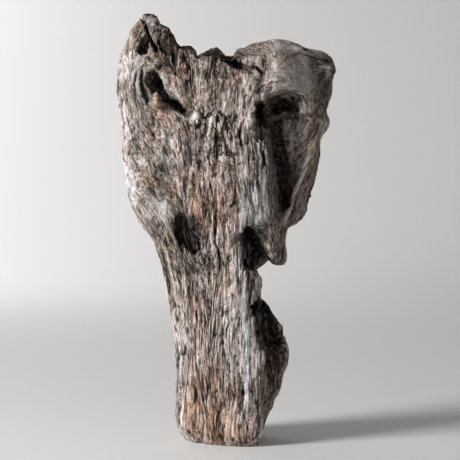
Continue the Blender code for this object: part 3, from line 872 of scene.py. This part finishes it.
def wood_level(n, noises):
    """How light the wood is, from 0 in a crack to 1 on a bleached ridge."""
    plain = n.math("SUBTRACT", 1.0, n.math("MULTIPLY", n.tone("smooth"), 0.45))
    plain = n.math("SUBTRACT", plain, n.math("MULTIPLY", n.tone("woolly"), 0.2))
    level = n.math("ADD", n.tone("tone"), n.math("MULTIPLY", n.around_middle(noises.fibre, 1.45), plain))
    for noise, gain in ((noises.fleck, 1.15), (noises.cloud, 0.45), (noises.mottle, 0.4)):
        level = n.math("ADD", level, n.around_middle(noise, gain))
    shade = n.math("MULTIPLY", n.around_middle(noises.shade, 0.3), n.tone("scaly"))
    level = n.math("ADD", level, shade)
    level = n.math("SUBTRACT", level, n.math("MULTIPLY", noises.line, 0.7))
    # Darker places, partly painted shade, lower the level.
    level = n.math("SUBTRACT", level, n.tone("dim_and_painted_shade"))
    # Bleached wood and painted light make the wood lighter.
    level = n.math("ADD", level, n.math("MULTIPLY", n.tone("bleach_and_painted_light"), 0.25))
    level = n.math("SUBTRACT", level, n.math("MULTIPLY", noises.hairline, 0.22))
    return n.math("SUBTRACT", level, n.math("MULTIPLY", n.tone("crack"), 0.45), clamp=True)


def wood_color(n, noises, level):
    """Grey-brown wood, with rust, silver, worn grey and rot laid over it in turn; the rot is partly painted
    shade in the hollows.
    """
    cool_share = n.math("MULTIPLY", n.math("SUBTRACT", noises.hue, 0.36), 3.2, clamp=True)
    color = n.mix(cool_share, n.ramp(level, WARM_WOOD), n.ramp(level, COOL_WOOD))
    patchy = n.math("ADD", 0.7, n.around_middle(noises.mottle, 1.6))
    color = n.mix(n.math("MULTIPLY", n.tone("rust"), patchy, clamp=True), color, n.ramp(level, RUSTY_WOOD))
    color = n.mix(n.math("MULTIPLY", n.tone("silver"), 0.85), color, n.ramp(level, SILVERED_WOOD))
    gritty = n.math("ADD", level, n.around_middle(noises.grit, 0.25))
    color = n.mix(n.math("MULTIPLY", n.tone("smooth"), 0.7), color, n.ramp(gritty, WORN_WOOD))
    # Rot and painted shade, near black, laid over last.
    return n.mix(n.math("MULTIPLY", n.tone("rot_and_painted_shade"), 0.95, clamp=True), color, n.ramp(level, ROT_AND_SHADE_WOOD))


def wood_material():
    """Silver-grey ridges over brown wood, with rust, rot and bleached streaks from the mesh's tones, and
    painted shade and painted light among them.
    """
    material, n, shader = new_material("weathered_wood")
    noises = wood_noises(n)
    n.link(wood_color(n, noises, wood_level(n, noises)), shader.inputs["Base Color"])
    n.link(n.math("ADD", 0.78, n.math("MULTIPLY", noises.fibre, 0.2)), shader.inputs["Roughness"])
    shader.inputs["Specular IOR Level"].default_value = 0.22
    cuts = n.math("MULTIPLY", n.math("ADD", noises.hairline, noises.line), 0.3)
    bumps = n.math("SUBTRACT", noises.fibre, cuts)
    bumps = n.math("ADD", bumps, n.math("MULTIPLY", n.math("ADD", noises.grit, noises.fleck), 0.3))
    n.raise_by(shader, bumps, strength=0.8, distance=0.0014)
    return material


def fibre_material():
    """Splinters, each with its own tone and fine streaks along it."""
    material, n, shader = new_material("bleached_fibre")
    here = n.add("ShaderNodeTexCoord").outputs["Object"]
    streak = n.noise(here, (0.0017, 0.0017, 0.008), 2)
    level = n.math("ADD", n.tone("shade"), n.around_middle(streak, 0.8), clamp=True)
    n.link(n.ramp(level, FIBRE_COLORS), shader.inputs["Base Color"])
    shader.inputs["Roughness"].default_value = 0.85
    shader.inputs["Specular IOR Level"].default_value = 0.25
    n.raise_by(shader, streak, strength=0.4, distance=0.0003)
    return material


# Loose fibres

FIBRES = 700
FIBRE_STEPS = 8
FIBRE_SIDES = 3
TORN_PATCH = ((-44, 350), (16, 22))  # torn wood beside the slit, where the fibres stand out aslant


def on_surface(tree, points):
    """The nearest places on the wood, and its normals there."""
    found = [tree.find_nearest(Vector(p) * MM)[:2] for p in points]
    return (np.array([list(f[k]) for f in found]) for k in (0, 1))


def fibre_starts(points, normals, count, rng):
    """Where the fibres begin, more of them where the wood is torn or splintered."""
    front = smooth_step(-0.2, 0.4, -normals[:, 1])
    z = points[:, 2]
    wanted = 0.25 + 0.9 * blob(points, (-8, 110), (26, 40)) + 1.4 * blob(points, *TORN_PATCH)
    wanted += 0.8 * blob(points, (0, 20), (40, 20)) + 0.8 * blob(points, (-34, 190), (16, 26))
    wanted *= (0.35 + 0.65 * front) * smooth_step(12, 30, z) * (1 - smooth_step(395, 420, z))
    wanted *= (1 - 0.85 * blob(points, (84, 372), (40, 18))) * (1 - blob(points, PIT, (20, 30)))
    return points[rng.choice(len(points), count, replace=False, p=wanted / wanted.sum())]


def fibre_paths(trunk, starts, torn, rng):
    """(places, normals of the wood there) of fibres that follow the grain and lift off at their ends."""
    count = len(starts)
    reach = rng.uniform(6, 24, count) * rng.choice([1, 1, 1.5], count)
    loose = rng.uniform(0, 1, count) ** 3 * 2.2
    thick = rng.uniform(0.22, 0.5, count)
    aslant = np.radians(np.where(torn, rng.uniform(-35, 35, count), rng.normal(0, 4, count)))
    reach = np.where(torn, reach * 0.7, reach)
    way = np.where(rng.uniform(size=count) < 0.5, -1.0, 1.0)[:, None]
    c, s = np.cos(aslant), np.sin(aslant)
    tree = BVHTree.FromObject(trunk, bpy.context.evaluated_depsgraph_get())
    at = starts
    places, outs = [], []
    for k in range(FIBRE_STEPS + 1):
        t = k / FIBRE_STEPS
        seat, normal = on_surface(tree, at)
        lift = -0.35 + 0.75 * math.sin(math.pi * min(t * 1.15, 1)) + loose * t**2
        places.append(seat / MM + normal * lift[:, None])
        outs.append(normal)
        run = grain_direction(seat / MM)
        run = np.stack([run[:, 0] * c - run[:, 2] * s, run[:, 1], run[:, 0] * s + run[:, 2] * c], axis=1)
        at = seat / MM + run * way * (reach / FIBRE_STEPS)[:, None]
    return np.stack(places, axis=1), np.stack(outs, axis=1), thick


def add_fibre(bm, path, outs, thick, tone):
    """One flat-sided splinter along a path, thin at both ends."""
    shade = bm.verts.layers.float["shade"]
    rings = []
    for k, (place, forward) in enumerate(zip(path, np.gradient(path, axis=0))):
        forward = forward / (np.linalg.norm(forward) + 1e-9)
        side = np.cross(outs[k], forward)
        side /= np.linalg.norm(side) + 1e-9
        out = np.cross(forward, side)
        radius = thick * (0.25 + 0.75 * math.sin(math.pi * (0.12 + 0.80 * k / FIBRE_STEPS)))
        ring = []
        for s in range(FIBRE_SIDES):
            turn = 2 * math.pi * s / FIBRE_SIDES + 0.5
            away = radius * (1.5 * math.cos(turn) * side + math.sin(turn) * out)
            ring.append(bm.verts.new((place + away) * MM))
            ring[-1][shade] = tone
        rings.append(ring)
    for low, high in zip(rings, rings[1:]):
        for s in range(FIBRE_SIDES):
            bm.faces.new((low[s], low[s - 1], high[s - 1], high[s]))
    bm.faces.new(rings[0])
    bm.faces.new(rings[-1][::-1])


def loose_fibres(trunk, count, seed):
    """Thin splinters that have half come away from the wood, along the grain."""
    rng = np.random.default_rng(seed)
    starts = fibre_starts(*read_points(trunk.data), count, rng)
    torn = blob(starts, *TORN_PATCH) > 0.35
    places, outs, thick = fibre_paths(trunk, starts, torn, rng)
    bm = bmesh.new()
    bm.verts.layers.float.new("shade")
    for i in range(count):
        tone = rng.uniform(0, 1) ** (0.4 if torn[i] else 1.0)
        add_fibre(bm, places[i], outs[i], thick[i], tone)
    bmesh.ops.recalc_face_normals(bm, faces=bm.faces)
    mesh = bpy.data.meshes.new("loose_fibres")
    bm.to_mesh(mesh)
    bm.free()
    mesh.shade_smooth()
    return new_piece("loose_fibres", mesh)


# Studio, light and camera

FLOOR_RADIUS = 2.2
WALL_CURVE = 1.3
WALL_HEIGHT = 4.0
FLOOR_SIDES = 72


def studio():
    """A pale floor that curves up into a wide round wall."""
    profile = [(1.2, 0.0), (FLOOR_RADIUS, 0.0)]
    for angle in np.linspace(0.15, math.pi / 2, 10):
        profile.append((FLOOR_RADIUS + WALL_CURVE * math.sin(angle), WALL_CURVE * (1 - math.cos(angle))))
    profile.append((FLOOR_RADIUS + WALL_CURVE, WALL_HEIGHT))
    turns = np.arange(FLOOR_SIDES) * 2 * math.pi / FLOOR_SIDES
    bm = bmesh.new()
    rings = [
        [bm.verts.new((radius * math.cos(a), radius * math.sin(a), height)) for a in turns]
        for radius, height in profile
    ]
    bm.faces.new(rings[0])
    for low, high in zip(rings, rings[1:]):
        for i in range(FLOOR_SIDES):
            bm.faces.new((low[i - 1], low[i], high[i], high[i - 1]))
    bmesh.ops.recalc_face_normals(bm, faces=bm.faces)
    mesh = bpy.data.meshes.new("floor")
    bm.to_mesh(mesh)
    bm.free()
    mesh.shade_smooth()
    floor = new_piece("floor", mesh)
    material, _, shader = new_material("pale_floor")
    shader.inputs["Base Color"].default_value = (0.72, 0.715, 0.71, 1)
    shader.inputs["Roughness"].default_value = 0.9
    shader.inputs["Specular IOR Level"].default_value = 0.1
    mesh.materials.append(material)


def area_light(name, place, target, size, power, spread=180):
    """A round lamp that the camera doesn't see. Its power is in watts and its spread in degrees."""
    data = bpy.data.lights.new(name, "AREA")
    data.shape = "DISK"
    data.size = size
    data.energy = power
    data.spread = math.radians(spread)
    light = new_piece(name, data)
    light.location = place
    light.rotation_euler = (Vector(target) - Vector(place)).to_track_quat("-Z", "Y").to_euler()
    light.visible_camera = False


def light_the_room():
    """Daylight from the left, a lamp on the wall behind, and a little light from all around."""
    area_light("window", place=(-1.95, -0.95, 0.90), target=(0, 0, 0.24), size=0.85, power=20, spread=90)
    area_light("wall_wash", place=(-1.5, 1.5, 2.0), target=(-2.0, 3.3, 0.5), size=1.2, power=60)
    world = bpy.data.worlds.new("room")
    world.use_nodes = True
    world.node_tree.nodes["Background"].inputs["Color"].default_value = (0.86, 0.85, 0.83, 1)
    world.node_tree.nodes["Background"].inputs["Strength"].default_value = 0.26
    bpy.context.scene.world = world
    bpy.context.scene.view_settings.view_transform = "Standard"


def photograph_camera():
    """The camera where the photograph was taken from."""
    camera = new_piece("camera", bpy.data.cameras.new("camera"))
    camera.location = CAMERA_AT
    camera.rotation_euler = (math.pi / 2 - CAMERA_DROP, 0, 0)
    camera.data.lens = CAMERA_LENS
    camera.data.sensor_width = 36  # millimetres, as the lens
    bpy.context.scene.camera = camera


trunk = weathered_trunk()
trunk.data.materials.append(wood_material())
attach(trunk, "root")
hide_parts("driftwood")

fibres = loose_fibres(trunk, FIBRES, seed=12)
fibres.data.materials.append(fibre_material())
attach(fibres, "root")

studio()
light_the_room()
photograph_camera()
